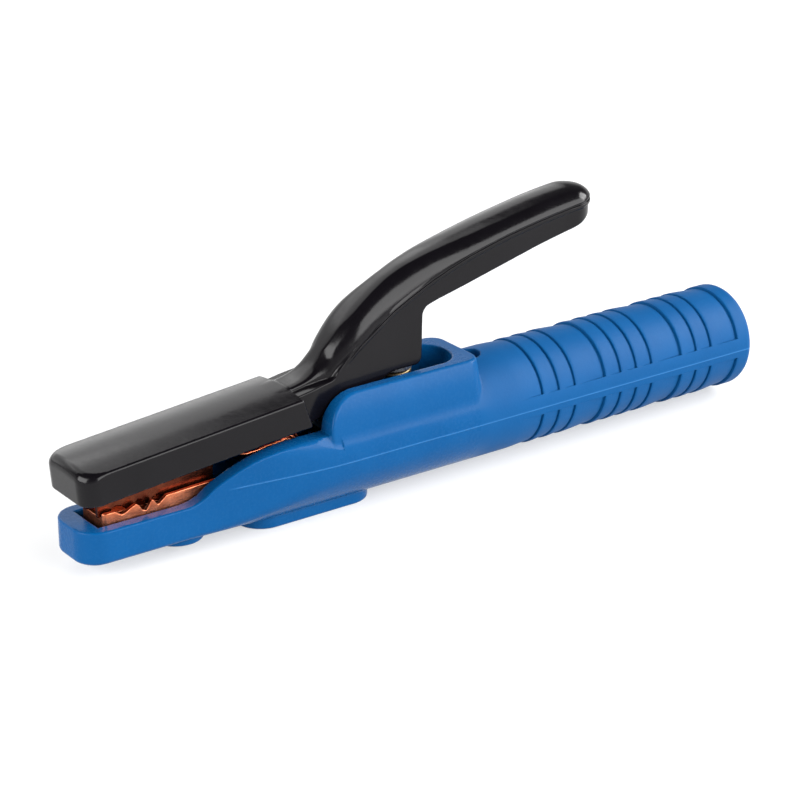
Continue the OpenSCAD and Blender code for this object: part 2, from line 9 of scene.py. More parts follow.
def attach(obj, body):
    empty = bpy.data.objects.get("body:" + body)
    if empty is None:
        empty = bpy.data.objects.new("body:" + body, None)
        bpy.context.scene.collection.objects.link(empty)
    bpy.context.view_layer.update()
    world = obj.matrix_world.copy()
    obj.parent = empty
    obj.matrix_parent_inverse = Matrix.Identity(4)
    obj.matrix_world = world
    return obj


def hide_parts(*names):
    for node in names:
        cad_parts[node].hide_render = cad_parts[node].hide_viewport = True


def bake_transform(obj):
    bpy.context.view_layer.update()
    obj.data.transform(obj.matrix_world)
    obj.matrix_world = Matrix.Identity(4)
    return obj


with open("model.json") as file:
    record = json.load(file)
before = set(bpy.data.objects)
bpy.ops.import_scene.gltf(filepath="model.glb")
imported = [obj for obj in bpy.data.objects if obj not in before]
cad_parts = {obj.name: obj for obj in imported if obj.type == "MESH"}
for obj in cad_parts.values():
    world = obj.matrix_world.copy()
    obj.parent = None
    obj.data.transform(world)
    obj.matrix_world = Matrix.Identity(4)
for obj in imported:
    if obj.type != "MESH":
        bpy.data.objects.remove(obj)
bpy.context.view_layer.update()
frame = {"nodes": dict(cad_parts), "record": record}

# Shapes are worked out in millimetres in the CAD's working frame: x along the grip's axis, z up from it.
# The lever's hinge is at (-82, 0, 4) there, which places that frame in the row frame.
HINGE = np.array([-82.0, 0.0, 4.0])
joints = {j["name"]: j for j in frame["record"]["behaviour"]["joints"]}
ORIGIN = np.array(joints["lever_pivot"]["pos_m"]) * 1000 - HINGE
GRIP_R = 17.5
FINE = 1.0


def row(p):
    """A point or an array of points of the working frame, in metres in the row frame."""
    return (np.asarray(p, float) + ORIGIN) / 1000


# ---------- curves and solid fields ----------


def smooth_step(a, b, x):
    """0 at a and 1 at b, with level ends."""
    t = np.clip((x - a) / (b - a), 0, 1)
    return t * t * (3 - 2 * t)


class Line:
    """A smooth height over x through given points, with the cosine of its slope."""

    def __init__(self, points, soften=1.0):
        px, pz = np.array(points, float).T
        step = 0.2
        self.x = np.arange(px[0] - 20, px[-1] + 20, step)
        z = np.interp(self.x, px, pz)
        if soften:
            k = np.arange(-4 * soften, 4 * soften + step, step)
            w = np.exp(-0.5 * (k / soften) ** 2)
            pad = len(k) // 2
            z = np.convolve(np.pad(z, pad, mode="edge"), w / w.sum(), "valid")[: len(self.x)]
        self.z = z
        self.c = 1 / np.sqrt(1 + np.gradient(z, step) ** 2)

    def __call__(self, x):
        return np.interp(x, self.x, self.z)

    def cos(self, x):
        return np.interp(x, self.x, self.c)


def both(a, b, r):
    """Where a and b overlap, with the edge rounded to radius r."""
    return np.minimum(np.maximum(a, b), -r) + np.hypot(np.maximum(a + r, 0), np.maximum(b + r, 0))


def either(a, b, r):
    """a joined to b, with a fillet of radius r."""
    return np.maximum(np.minimum(a, b), r) - np.hypot(np.maximum(r - a, 0), np.maximum(r - b, 0))


def without(a, b, r):
    """a with b cut out of it, with the edge rounded to radius r."""
    return both(a, -b, r)


def slope_of(field, p, h=0.03):
    """The field's gradient at points p, from differences over 2h."""
    g = np.empty_like(p)
    for a in range(3):
        d = np.zeros(3)
        d[a] = h
        g[:, a] = (field(*(p + d).T) - field(*(p - d).T)) / (2 * h)
    return g


def settle(field, p, rounds, reach):
    """Points moved along the gradient onto the surface, by at most reach in each round."""
    for _ in range(rounds):
        g = slope_of(field, p)
        size = np.maximum(np.linalg.norm(g, axis=1), 0.15)
        way = np.clip(field(*p.T) / size, -reach, reach)
        p = p - (way / size)[:, None] * g
    return p


def skin(name, field, xs, ys, zs, lift=lambda x: 0 * x):
    """The surface where field is zero, as a mesh of quads whose corners lie on it.

    The grid's heights zs are measured from lift(x), so that its layers can follow a curved edge.
    """
    grid = [np.asarray(v, float) for v in (xs, ys, zs)]
    heights = grid[2][None, None, :] + lift(grid[0])[:, None, None]
    f = field(grid[0][:, None, None], grid[1][None, :, None], heights)
    f = np.broadcast_to(f, [len(v) for v in grid])
    cells = np.array(f.shape)
    inside = f < 0
    corners, quads = [], []
    for a in range(3):
        b, c = (a + 1) % 3, (a + 2) % 3
        lo = [slice(None)] * 3
        hi = [slice(None)] * 3
        lo[a], hi[a] = slice(0, -1), slice(1, None)
        at = np.argwhere(inside[tuple(lo)] != inside[tuple(hi)])
        over = at.copy()
        over[:, a] += 1
        f0, f1 = f[tuple(at.T)], f[tuple(over.T)]
        t = f0 / (f0 - f1)
        p = np.stack([grid[i][at[:, i]] for i in range(3)], 1)
        p[:, a] += t * (grid[a][at[:, a] + 1] - grid[a][at[:, a]])
        p[:, 2] += lift(p[:, 0])
        ring = []
        for db, dc in ((0, 0), (-1, 0), (-1, -1), (0, -1)):
            cell = at.copy()
            cell[:, b] += db
            cell[:, c] += dc
            ring.append(np.ravel_multi_index(cell.T, cells))
        ring = np.stack(ring, 1)
        flip = ~inside[tuple(at.T)]
        ring[flip] = ring[flip][:, ::-1]
        quads.append(ring)
        corners.append(np.repeat(p, 4, axis=0))
    quads = np.concatenate(quads)
    corners = np.concatenate(corners)
    used, index = np.unique(quads.ravel(), return_inverse=True)
    index = index.ravel()
    count = np.bincount(index, minlength=len(used))
    verts = np.stack([np.bincount(index, corners[:, i], len(used)) for i in range(3)], 1)
    verts /= count[:, None]
    quads = index.reshape(-1, 4)
    step = min(np.diff(v).max() for v in grid)
    verts = settle(field, verts, 2, step)
    for _ in range(2):
        verts = settle(field, relaxed(verts, quads), 2, step)
    verts = settle(field, verts, 1, step)
    normal = slope_of(field, verts, 0.06)
    normal /= np.maximum(np.linalg.norm(normal, axis=1), 1e-9)[:, None]
    return made(name, row(verts), quads, normal)


def relaxed(verts, quads):
    """Corners moved half-way to the mean of their neighbours."""
    total = np.zeros_like(verts)
    count = np.zeros(len(verts))
    for i in range(4):
        a, b = quads[:, i], quads[:, (i + 1) % 4]
        for j in range(3):
            total[:, j] += np.bincount(a, verts[b, j], len(verts)) + np.bincount(b, verts[a, j], len(verts))
        count += np.bincount(a, minlength=len(verts)) + np.bincount(b, minlength=len(verts))
    return verts + 0.5 * (total / count[:, None] - verts)


def made(name, verts, faces, normal=None):
    """A smooth-shaded mesh object in the scene, from corners in metres."""
    mesh = bpy.data.meshes.new(name)
    if isinstance(faces, np.ndarray):
        faces = faces.tolist()
    mesh.from_pydata(np.asarray(verts).tolist(), [], faces)
    mesh.update()
    mesh.polygons.foreach_set("use_smooth", [True] * len(mesh.polygons))
    if normal is not None:
        mesh.normals_split_custom_set_from_vertices(normal.tolist())
    obj = bpy.data.objects.new(name, mesh)
    bpy.context.scene.collection.objects.link(obj)
    return obj


def spread(low, high, step, *extra):
    """Grid lines from low to high, with each group of extra lines in place of those within 0.12 of it."""
    lines = np.arange(low, high + step, step)
    for group in extra:
        gap = np.abs(lines[:, None] - np.asarray(group)[None, :]).min(1)
        lines = np.concatenate([lines[gap > 0.12], group])
    return np.sort(lines)


# ---------- blue body: arm, box, pad and boss ----------

ARM_FRONT, ARM_BOTTOM, ARM_HALF_W = -178.9, -13.8, 11.3
BODY_END = -24.0
TROUGH_FRONT, TROUGH_HALF_W = -172.3, 7
WELL_REAR, WELL_FLOOR = -40.9, -8
GRIP_BORE_FRONT, CHAMBER_R = -38, 14.1
BOX_FRONT, BOX_REAR, BOX_TOP = -95, -35.8, 20.6
BOX_FOOT_Z, BOX_FOOT_HALF_W = 7.7, 15.7
PAD_X, PAD_HALF_SPAN, PAD_R, PAD_BOTTOM = -97, 14.5, 9, -19
BOSS_X, BOSS_R, BOSS_BOTTOM = -142, 8.5, -16.6
# x of each screw from below, and the height of its head's seat
SCREWS = ((-111, -15.8), (-83, -15.8), (BOSS_X, -14.0))
HEAD_HOLE_R, SCREW_HOLE_R = 4.1, 2.1
KEY_HOLE_X, KEY_HOLE_R = -31.6, 3.6
# Height and half-width of the mould line's ridge
RIDGE, RIDGE_W = 0.11, 0.2


def eased(start, gain, a, b, last_x, end):
    """A line at start up to x = a, changed by gain at b, and held at end."""
    points = [(x, start + gain * smooth_step(a, b, x)) for x in np.arange(-182, last_x, 2.0)]
    return Line(points + [(-20, end)], 1.5)


half_w = eased(ARM_HALF_W, 6.2, -150, -84, -80, 17.5)
belly = eased(ARM_BOTTOM, -3.7, -142, -88, -80, -17.5)
trough = eased(TROUGH_HALF_W, 1.8, -142, -112, -100, 8.8)
rim = Line(
    [(-180, -3.0), (-146, -3.0), (-144, -2.95), (-141, -2.3), (-138, -1.0), (-136, 0.9), (-133, 2.5),
     (-130, 3.9), (-126.8, 5.3), (-123.6, 6.6), (-120.3, 7.6), (-117, 8.3), (-113, 8.9), (-109, 9.2),
     (-104, 9.3), (-20, 9.3)], 1.2)
# Normal of the flat facet at the box's front foot, a point on it, and where it stops
FACET_N = np.array([0.11, -0.81, 0.577])
FACET_P = np.array([-101.0, -14.8, 9.2])
FACET_END = -91.7


def body_field(x, y, z):
    ay = np.abs(y)
    rho = np.hypot(y, z)
    flash = RIDGE * np.exp(-((z / RIDGE_W) ** 2)) * smooth_step(-133, -126, x)
    side = (ay - half_w(x)) * half_w.cos(x) - flash
    shell = both(ARM_FRONT - x, side, 8.0)
    shell = both(shell, (z - rim(x)) * rim.cos(x), 0.6)
    shell = both(shell, belly(x) - z, 1.5)
    shell = both(shell, rho - GRIP_R - flash, 1.0 - 0.98 * smooth_step(-64, -46, x))
    facet = -((x - FACET_P[0]) * FACET_N[0] + (ay + FACET_P[1]) * -FACET_N[1] + (z - FACET_P[2]) * FACET_N[2])
    shell = np.maximum(shell, -np.maximum(facet, x - FACET_END))
    # The last stretch goes under the grip's first rings
    tuck = 0.8 * smooth_step(-25.3, -24.2, x)
    # The arm ends at x = -37, inside the round body, which starts at -41
    body = np.minimum(np.maximum(shell, x + 37), np.maximum(rho - GRIP_R - flash + tuck, -41 - x))
    up = np.clip((z - BOX_FOOT_Z) / 12.9, -0.3, 1)
    wall = (ay - (BOX_FOOT_HALF_W - 3.2 * up + 2.0 * up * (1 - up))) * 0.97
    box = both(both(wall, x - BOX_REAR, 5.0), both(BOX_FRONT - x, z - BOX_TOP, 11.0), 0.85)
    body = either(body, np.maximum(box, 2 - z), 0.5)
    pad = np.hypot(np.maximum(np.abs(x - PAD_X) - PAD_HALF_SPAN, 0), y) - PAD_R
    pad = np.maximum(both(pad, PAD_BOTTOM - z, 0.7), z + 12.5)
    boss = np.maximum(both(np.hypot(x - BOSS_X, y) - BOSS_R, BOSS_BOTTOM - z, 0.7), z + 12.5)
    body = either(body, np.minimum(pad, boss), 0.6)
    well = np.maximum(both(ay - trough(x), x - WELL_REAR, 8.2), TROUGH_FRONT - x)
    well = np.maximum(well, WELL_FLOOR - z)
    # Slot in the well's floor for the base bar
    slot = np.maximum(ay - TROUGH_HALF_W, TROUGH_FRONT - x)
    slot = np.maximum(slot, np.maximum(np.maximum(x + 37, -12 - z), z + 7.9))
    body = without(body, np.minimum(well, slot), 0.35)
    holes = np.maximum(rho - CHAMBER_R, GRIP_BORE_FRONT - x)
    holes = np.minimum(holes, np.maximum(np.hypot(x - KEY_HOLE_X, y) - KEY_HOLE_R, -z))
    for screw_x, seat in SCREWS:
        r = np.hypot(x - screw_x, y)
        holes = np.minimum(holes, np.maximum(r - HEAD_HOLE_R, z - seat))
        holes = np.minimum(holes, np.maximum(r - SCREW_HOLE_R, z + 11))
    body = without(body, holes, 0.25)
    return np.maximum(body, x - BODY_END)


body_step = 0.6 * FINE
body_front = skin(
    "body_front", body_field,
    spread(-180.5, -22.5, body_step, [-172.6, -172.3, -172.0], [-95.2, -94.9, -94.6], [-91.9, -91.6]),
    spread(-19.0, 19.0, body_step, [-8.8, -7.0, 7.0, 8.8]),
    spread(-20.0, 21.9, body_step, [-0.4, -0.2, 0.0, 0.2, 0.4]),
)


# ---------- blue grip: rings of corners whose radius follows the finger ramps ----------

REAR, RIM_R, BORE_R = 77.3, 3.0, 13.5
# x of the first wall of each group of ribs, and how many it has
RIB_GROUPS = [(-13.9, 3), (12.1, 4), (45.1, 3), (70.3, 1)]
PITCH = 6.67
SLOT_W, LIP_W, LIP = 0.75, 0.3, 0.12
# Heights between which the grip is plain, along the mould line
BAND = (-2.4, 4.4)


def ramps():
    """(start, wall, depth at the wall, depth of the slot at its foot) of each finger ramp."""
    found, last = [], RIB_GROUPS[0][0] - 10
    for i, (first, count) in enumerate(RIB_GROUPS):
        found.append((last + 1, first, 0.5 if i == 0 else 0.8, 0.5 if i == 0 else 0.25))
        for k in range(1, count):
            found.append((first + (k - 1) * PITCH + 0.8, first + k * PITCH, 0.45, 0.40))
        last = first + (count - 1) * PITCH
    return found


def grip_depth(x):
    """How far the grip's surface lies below its full radius at x."""
    depth = np.zeros_like(x)
    for start, wall, deep, slot in ramps():
        on = (x > start) & (x <= wall)
        t = np.clip((x - start) / (wall - start), 0, 1)
        d = deep * (t * t * (3 - 2 * t) * 0.35 + t * 0.65)
        d = d + slot * ((x > wall - SLOT_W) & (x <= wall))
        lip = (x > wall) & (x <= wall + LIP_W)
        depth = np.where(on, d, depth)
        depth = np.where(lip, np.maximum(depth, LIP * (1 - (x - wall) / LIP_W)), depth)
    return depth


def ring_places():
    """x of the rings along the ribbed part, close together at each wall."""
    xs = [BODY_END - 2, BODY_END, BODY_END + 0.3]
    for start, wall, _, _ in ramps():
        n = max(4, int((wall - start) / 0.9))
        xs += list(np.linspace(start, wall - 0.82, n))
        xs += [wall - 0.72, wall - 0.4, wall - 0.02, wall + 0.03, wall + 0.15, wall + 0.32]
    xs += list(np.linspace(xs[-1] + 0.7, REAR - RIM_R, 8))
    return sorted(set(round(v, 3) for v in xs))


def ring_angles():
    """Angles of a ring's corners in radians, close together at the plain bands' edges and the mould line."""
    edges = []
    for side in (0, 180):
        for z in BAND:
            a = math.degrees(math.asin(z / GRIP_R))
            a = a if side == 0 else 180 - a
            edges += [a - 0.5, a - 0.12, a + 0.12, a + 0.5]
    flash = [a + d for a in (0, 180) for d in (-1.2, -0.6, 0, 0.6, 1.2)]
    special = np.array(edges + flash) % 360
    step = 2.4 * FINE
    even = np.arange(0, 360, step)
    gap = np.abs((even[:, None] - special[None, :] + 180) % 360 - 180).min(1)
    return np.radians(np.sort(np.concatenate([even[gap > 0.9], special])))


def grip():
    t = ring_angles()
    zz = GRIP_R * np.sin(t)
    # The ramps stop just outside the plain band
    margin = 0.012
    open_part = ((zz > BAND[1] + margin) | (zz < BAND[0] - margin)).astype(float)
    ridge = RIDGE * np.exp(-((zz / RIDGE_W) ** 2))
    rings = []
    for x in ring_places():
        r = GRIP_R - grip_depth(np.array([x]))[0] * open_part + ridge
        rings.append((np.full(len(t), x), r))
    for a in np.linspace(8, 90, 10):
        x = REAR - RIM_R + RIM_R * math.sin(math.radians(a))
        r = GRIP_R - RIM_R + RIM_R * math.cos(math.radians(a)) + ridge * (1 - a / 90)
        rings.append((np.full(len(t), x), r))
    bore = (
        (REAR, BORE_R + 0.75), (REAR - 0.2, BORE_R + 0.3), (REAR - 0.7, BORE_R + 0.05), (REAR - 2, BORE_R),
        (40, BORE_R), (-6, BORE_R), (-6.02, CHAMBER_R), (BODY_END - 2, CHAMBER_R))
    for x, r in bore:
        rings.append((np.full(len(t), x), np.full(len(t), r)))
    verts = np.concatenate([np.stack([x, -r * np.cos(t), r * np.sin(t)], 1) for x, r in rings])
    n, m = len(rings), len(t)
    i, j = np.meshgrid(np.arange(n), np.arange(m), indexing="ij")
    a, b = (i * m + j).ravel(), (i * m + (j + 1) % m).ravel()
    c, d = (((i + 1) % n) * m + (j + 1) % m).ravel(), (((i + 1) % n) * m + j).ravel()
    obj = made("body_grip", row(verts), np.stack([a, b, c, d], 1))
    obj.data.set_sharp_from_angle(angle=math.radians(38))
    return obj


body_grip = grip()


# ---------- black lever: jaw cover, spine, rounded band and web ----------

COVER_X, COVER_Z = -178.6, 5.7
COVER_HALF_W, COVER_SIDE, COVER_CROWN, COVER_END = 12.5, 9.8, 1.45, 79
HOLLOW_FRONT, HOLLOW_END, HOLLOW_HALF_W, HOLLOW_TOP = 3, 76, 9.5, 6.0
TILT = math.radians(5.1)
# Centre of the lever's rounded tip
TIP_X = 5.6
crest = Line(
    [(-118, 20.6), (-110, 22.3), (-106, 23.2), (-103.9, 23.65), (-101.5, 24.05), (-99, 24.5),
     (-96.6, 25.3), (-94, 27.1), (-91.8, 29.5), (-89.6, 32.3), (-86.4, 36.3), (-83.2, 39.8),
     (-78.3, 43.9), (-73.1, 47.2), (-66.5, 50.8), (-59.5, 53.8), (-51.5, 56.3), (-43.4, 58.3),
     (-36, 59.9), (-28.4, 61.5), (-19, 63.3), (-9.4, 65.1), (-2, 66.2), (4.5, 66.9), (10, 67.1),
     (16, 67.0)], 1.3)
parting = Line(
    [(-118, 20.0), (-103, 22.0), (-89.4, 24.2), (-88.2, 26.4), (-81, 32.9), (-74.2, 37.6), (-67, 42.2),
     (-59.7, 45.8), (-52.4, 49.1), (-45, 51.9), (-37.7, 54.3), (-30, 56.3), (-22.7, 58.0), (-15, 59.4),
     (-7.3, 60.7), (4.5, 62.4), (16, 63.6)], 0.6)
crown_w = Line(
    [(-118, 5.0), (-99, 5.0), (-94, 5.4), (-91, 6.1), (-88, 7.2), (-84, 8.3), (-78, 9.0), (-70, 9.2),
     (16, 9.2)], 1.2)
web_w = Line(
    [(-118, 9.0), (-97, 9.0), (-94, 8.6), (-88, 8.5), (-78, 8.3), (-66, 8.1), (0, 8.1), (12, 8.45),
     (16, 8.45)], 1.2)
under = Line(
    [(-118, 26.0), (-55.7, 39.9), (-50.9, 41.4), (-39.7, 44.0), (-28.5, 46.8), (-9.3, 51.6), (4, 54.4),
     (16, 56.6)], 1.0)
web_low = Line(
    [(-118, 12.3), (-98.4, 12.5), (-88, 14.2), (-76, 15.2), (-74.5, 15.8), (-68.6, 21.1), (-67, 21.5),
     (-20, 21.5)], 0.5)


def cover_field(x, y, z):
    """The jaw cover, drawn in a frame tilted by TILT with cx from its front face and cz up from its edge."""
    ay = np.abs(y)
    c, s = math.cos(TILT), math.sin(TILT)
    cx = (x - COVER_X) * c + (z - COVER_Z) * s
    cz = (z - COVER_Z) * c - (x - COVER_X) * s
    cover = both(-cx, (ay - COVER_HALF_W), 5.5)
    top = (cz - COVER_SIDE - COVER_CROWN * (1 - (y / COVER_HALF_W) ** 2)) * 0.98
    cover = both(cover, top, 0.75 + 2.4 * smooth_step(9, 1, cx))
    cover = both(cover, (cx - COVER_END + 0.25 * cz) * 0.97, 0.5)
    cover = both(cover, -cz, 0.45)
    hollow = np.maximum(HOLLOW_FRONT - cx, cx - HOLLOW_END)
    hollow = np.maximum(hollow, np.maximum(ay - HOLLOW_HALF_W, cz - HOLLOW_TOP))
    return without(cover, hollow, 0.4)


def crown_field(x, q, z):
    """The rounded part above the parting line; q is the distance from the middle plane or tip's centre."""
    zc, zp, w = crest(x), parting(x), crown_w(x)
    tall = np.maximum(zc - zp, 0.8)
    flank_h = np.minimum(3.0, 0.62 * tall)
    neck = smooth_step(-66, -82, x)
    wide = w * (neck + (1 - neck) * 0.83 / np.sqrt(1 - (flank_h / tall) ** 2))
    n = 2 + 0.6 * smooth_step(4.6, 7.5, tall) * (1 - neck) + 1.1 * neck + 1.2 * smooth_step(-92, -99, x)
    a = (q / wide) ** n
    b = (np.maximum(z - zp, 0) / tall) ** n
    crown = ((a + b) ** (1 / n) - 1) * (a * wide + b * tall * crest.cos(x) + 1e-6) / (a + b + 1e-6)
    flank = (q - w - 2.2 * smooth_step(-64, -80, x) + 0.52 * (z - zp)) * 0.887
    crown = both(crown, flank, 1.1 + 0.16 * tall)
    crown = both(crown, (zp - z) * parting.cos(x), 0.4)
    return np.maximum(crown, -112 - x)


def web_field(x, q, z):
    """The flat-sided part below the parting line, with a lip along it."""
    zp = parting(x)
    below = zp - z
    lip = smooth_step(2.1, 1.6, below) * smooth_step(0.45, 0.75, below) * smooth_step(-86, -80, x)
    web = q - web_w(x) + 0.03 * np.maximum(below, 0) - 0.45 * lip
    base = either(
        (under(x) - z) * under.cos(x),
        both(x + 55.5, (web_low(x) - z) * web_low.cos(x), 2.6), 2.2)
    web = both(web, base, 0.6 + 1.6 * smooth_step(3, 12, x))
    web = both(web, (z - zp - 0.2) * parting.cos(x), 0.5)
    return np.maximum(web, -104 - x)


def lever_field(x, y, z):
    q = np.hypot(np.maximum(x - TIP_X, 0), y)
    spine = either(cover_field(x, y, z), crown_field(x, q, z), 0.7)
    fillet = 0.35 + 0.5 * smooth_step(-90, -86, x) * smooth_step(-72, -80, x)
    return either(spine, web_field(x, q, z), fillet)


lever_step = 0.5 * FINE
lever_skin = skin(
    "lever_skin", lever_field,
    spread(-181.0, 16.4, lever_step, [-104.3, -104.0, -103.7]),
    spread(-14.0, 14.0, lever_step, [-9.5, 9.5]),
    spread(-31.0, 13.0, lever_step, [-2.1, -1.85, -1.6, -0.8, -0.6, -0.4, -0.2, 0.0, 0.2]),
    parting,
)


# ---------- copper jaws ----------


JAW_FRONT, JAW_REAR = -170.2, -131
# Softening of the notches' corners
NOTCH_SOFT = 0.22
lower_edge = Line(
    [(-172, 0.0), (-168.5, 0.3), (-166.3, 0.3), (-165.2, -0.6), (-164.2, -1.2), (-163.1, -1.0),
     (-161, 0.1), (-159.2, 0.9), (-158.2, 0.2), (-157.0, -1.6), (-155.9, -2.0), (-155.0, -1.0),
     (-153.9, 0.9), (-153.1, 0.5), (-151.8, -1.3), (-150.4, -0.2), (-148.8, 1.0), (-131, 1.6)], NOTCH_SOFT)
upper_edge = Line(
    [(-172, -1.5), (-167.2, -1.5), (-165.8, 0.4), (-164.4, 0.9), (-162.9, 0.4), (-161, -1.3),
     (-159.4, -1.5), (-158.2, 0.2), (-157, 1.1), (-155.6, 0.4), (-154.2, -1.4), (-153.1, -1.4),
     (-151.8, 0.5), (-150.4, 1.0), (-148.9, 0.2), (-147.2, -1.5), (-131, -1.5)], NOTCH_SOFT)


def lower_jaw_field(x, y, z):
    ay = np.abs(y)
    outer = both(both(ay - 6.7, JAW_FRONT - x, 1.5), WELL_FLOOR - z, 1.4)
    inner = both(both(ay - 5.4, -168.9 - x, 0.5), -6.65 - z, 0.6)
    wall = both(np.maximum(outer, -inner), x - JAW_REAR, 0.2)
    jaw = both(wall, (z - lower_edge(x)) * lower_edge.cos(x), 0.18)
    # The front wall is lower between the sides
    jaw = both(jaw, np.where((ay < 5.2) & (x < -168.2), z + 1.4 - 0.06 * ay, -5.0), 0.15)
    jaw_screw_hole = np.maximum(np.hypot(x - BOSS_X, y) - 2.05, -9 - z)
    return np.maximum(jaw, -jaw_screw_hole)


def upper_jaw_field(x, y, z):
    ay = np.abs(y)
    back = (7.2 + (x - JAW_FRONT) * math.tan(TILT) + 1.4 - z) * math.cos(TILT)
    outer = both(ay - 4.3, -back, 1.6)
    inner = both(ay - 2.95, -(back - 1.35), 0.6)
    jaw = np.maximum(outer, -inner)
    jaw = both(jaw, (upper_edge(x) - z) * upper_edge.cos(x), 0.18)
    return both(both(jaw, -170.8 - x, 0.2), x - JAW_REAR, 0.2)


jaw_step = 0.3 * FINE
lower_jaw_skin = skin(
    "lower_jaw_skin", lower_jaw_field,
    spread(-171, -130.2, jaw_step),
    spread(-7.5, 7.5, jaw_step, [-6, 6]),
    spread(-8.8, 2.6, jaw_step),
)
upper_jaw_skin = skin(
    "upper_jaw_skin", upper_jaw_field,
    spread(-171.6, -130.2, jaw_step),
    spread(-5.7, 5.7, jaw_step, [-4.2, 4.2]),
    spread(-2.6, 13.4, jaw_step),
)


# ---------- spring wire and shunt strands ----------


def tube(name, paths, radius, sides=10):
    """Round wires along paths of points, closed at their ends, as one mesh."""
    verts, faces = [], []
    for path in paths:
        p = np.asarray(path, float)
        d = np.gradient(p, axis=0)
        d /= np.linalg.norm(d, axis=1)[:, None]
        ref = np.array([0.02, 1.0, 0.03])
        u = np.cross(d, ref)
        u /= np.linalg.norm(u, axis=1)[:, None]
        v = np.cross(d, u)
        a = np.linspace(0, 2 * math.pi, sides, endpoint=False)
        first = len(verts)
        n = len(p)
        r = np.full(n, radius)
        r[0] *= 0.7
        r[-1] *= 0.7
        across = np.cos(a)[None, :, None] * u[:, None] + np.sin(a)[None, :, None] * v[:, None]
        ring = p[:, None] + r[:, None, None] * across
        verts += list(ring.reshape(-1, 3))
        for i in range(n - 1):
            here, ahead = first + i * sides, first + (i + 1) * sides
            for j in range(sides):
                k = (j + 1) % sides
                faces.append([here + j, here + k, ahead + k, ahead + j])
        faces.append([first + j for j in range(sides)][::-1])
        faces.append([first + (n - 1) * sides + j for j in range(sides)])
    return made(name, row(np.array(verts)), faces)


SPRING_X, SPRING_LOW, SPRING_HIGH = -61.5, -6.5, 19.9
COIL_R, WIRE_R, TURNS = 5.1, 0.75, 7


def spring_path():
    t = np.linspace(0, 1, 30 * TURNS)
    # The end turns are closed up, so that the pitch grows from them to the middle
    rise = t - 0.085 * np.sin(2 * math.pi * t)
    a = 2 * math.pi * TURNS * t
    z = SPRING_LOW + WIRE_R + rise * (SPRING_HIGH - SPRING_LOW - 2 * WIRE_R)
    return np.stack([SPRING_X + COIL_R * np.cos(a), COIL_R * np.sin(a), z], 1)


spring = tube("spring_wire", [spring_path()], WIRE_R, 12)

SHUNT_X, SHUNT_Z, SHUNT_R, SHUNT_END = -108.0, 2.6, 7.7, -119.5
STRAND_R = 0.36


def strand_paths():
    """26 strands in two layers, from the lower lug round to the upper one, and the loose ones."""
    rng = np.random.default_rng(7)
    found = []
    for k in range(26):
        y0 = -5.4 + 10.8 * (k % 13) / 12
        layer = -0.42 if k < 13 else 0.42
        wave, turn = rng.uniform(0.25, 0.6), rng.uniform(0, 2 * math.pi)
        r = SHUNT_R + layer + rng.uniform(-0.1, 0.1)
        low = [(x, SHUNT_Z - r) for x in np.linspace(SHUNT_END, SHUNT_X - 1, 8)]
        arc = [(SHUNT_X + r * math.sin(a), SHUNT_Z - r * math.cos(a)) for a in np.linspace(0, math.pi, 22)]
        high = [(x, SHUNT_Z + r) for x in np.linspace(SHUNT_X - 1, SHUNT_END, 8)]
        p = np.array(low + arc + high)
        s = np.linspace(0, 1, len(p))
        loose = np.sin(math.pi * s) ** 0.7
        y = y0 * (1 + 0.1 * loose) + wave * loose * np.sin(9 * s + turn)
        found.append(np.stack([p[:, 0], y, p[:, 1] + 0.25 * loose * np.sin(7 * s + 2 * turn)], 1))
    return found + loose_strands(rng)


def loose_strands(rng):
    """A few strands that have left the bundle and lie along the walls of the arm's trough."""
    found = []
    for k in range(6):
        side, r = (-1, 1)[k % 2], SHUNT_R - 1.5 + 0.4 * (k // 2)
        out, drop = 7.5 - 0.8 * (k // 2), rng.uniform(0.07, 0.13)
        a = np.linspace(0, math.pi, 22)
        px = [*np.linspace(SHUNT_END, SHUNT_X - 1, 6), *(SHUNT_X + r * np.sin(a))]
        px += [*np.linspace(SHUNT_X - 1, -121, 9), -125]
        pz = [*[SHUNT_Z - r] * 6, *(SHUNT_Z - r * np.cos(a)), *[SHUNT_Z + r] * 9, SHUNT_Z + SHUNT_R - 0.8]
        px, pz = np.array(px), np.array(pz)
        high = smooth_step(12, 27, np.arange(len(px)))
        pz = pz - drop * np.maximum(SHUNT_X - px, 0) * high
        y = side * (3.0 + (out - 3.0) * high + 0.25 * np.sin(0.9 * px + 2 * k))
        y[-1] = side * 5
        found.append(np.stack([px, y, pz], 1))
    return found


strands = tube("shunt_strands", strand_paths(), STRAND_R, 7)

NODE = frame["nodes"]

for obj, body, nodes in (
    (body_front, "body", ["body_shell"]),
    (body_grip, "body", []),
    (lever_skin, "lever", ["lever_shell"]),
    (lower_jaw_skin, "body", ["lower_jaw"]),
    (upper_jaw_skin, "lever", ["upper_jaw"]),
):
    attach(obj, body)
    if nodes:
        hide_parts(*nodes)
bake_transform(spring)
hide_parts("lever_spring")
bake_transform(strands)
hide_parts("shunt")


# ---------- materials ----------


def set_stops(node, stops):
    """Gives a colour ramp its stops, each a place and a colour."""
    while len(node.color_ramp.elements) < len(stops):
        node.color_ramp.elements.new(0.5)
    for element, (place, colour) in zip(node.color_ramp.elements, stops):
        element.position = place
        element.color = (*colour, 1)


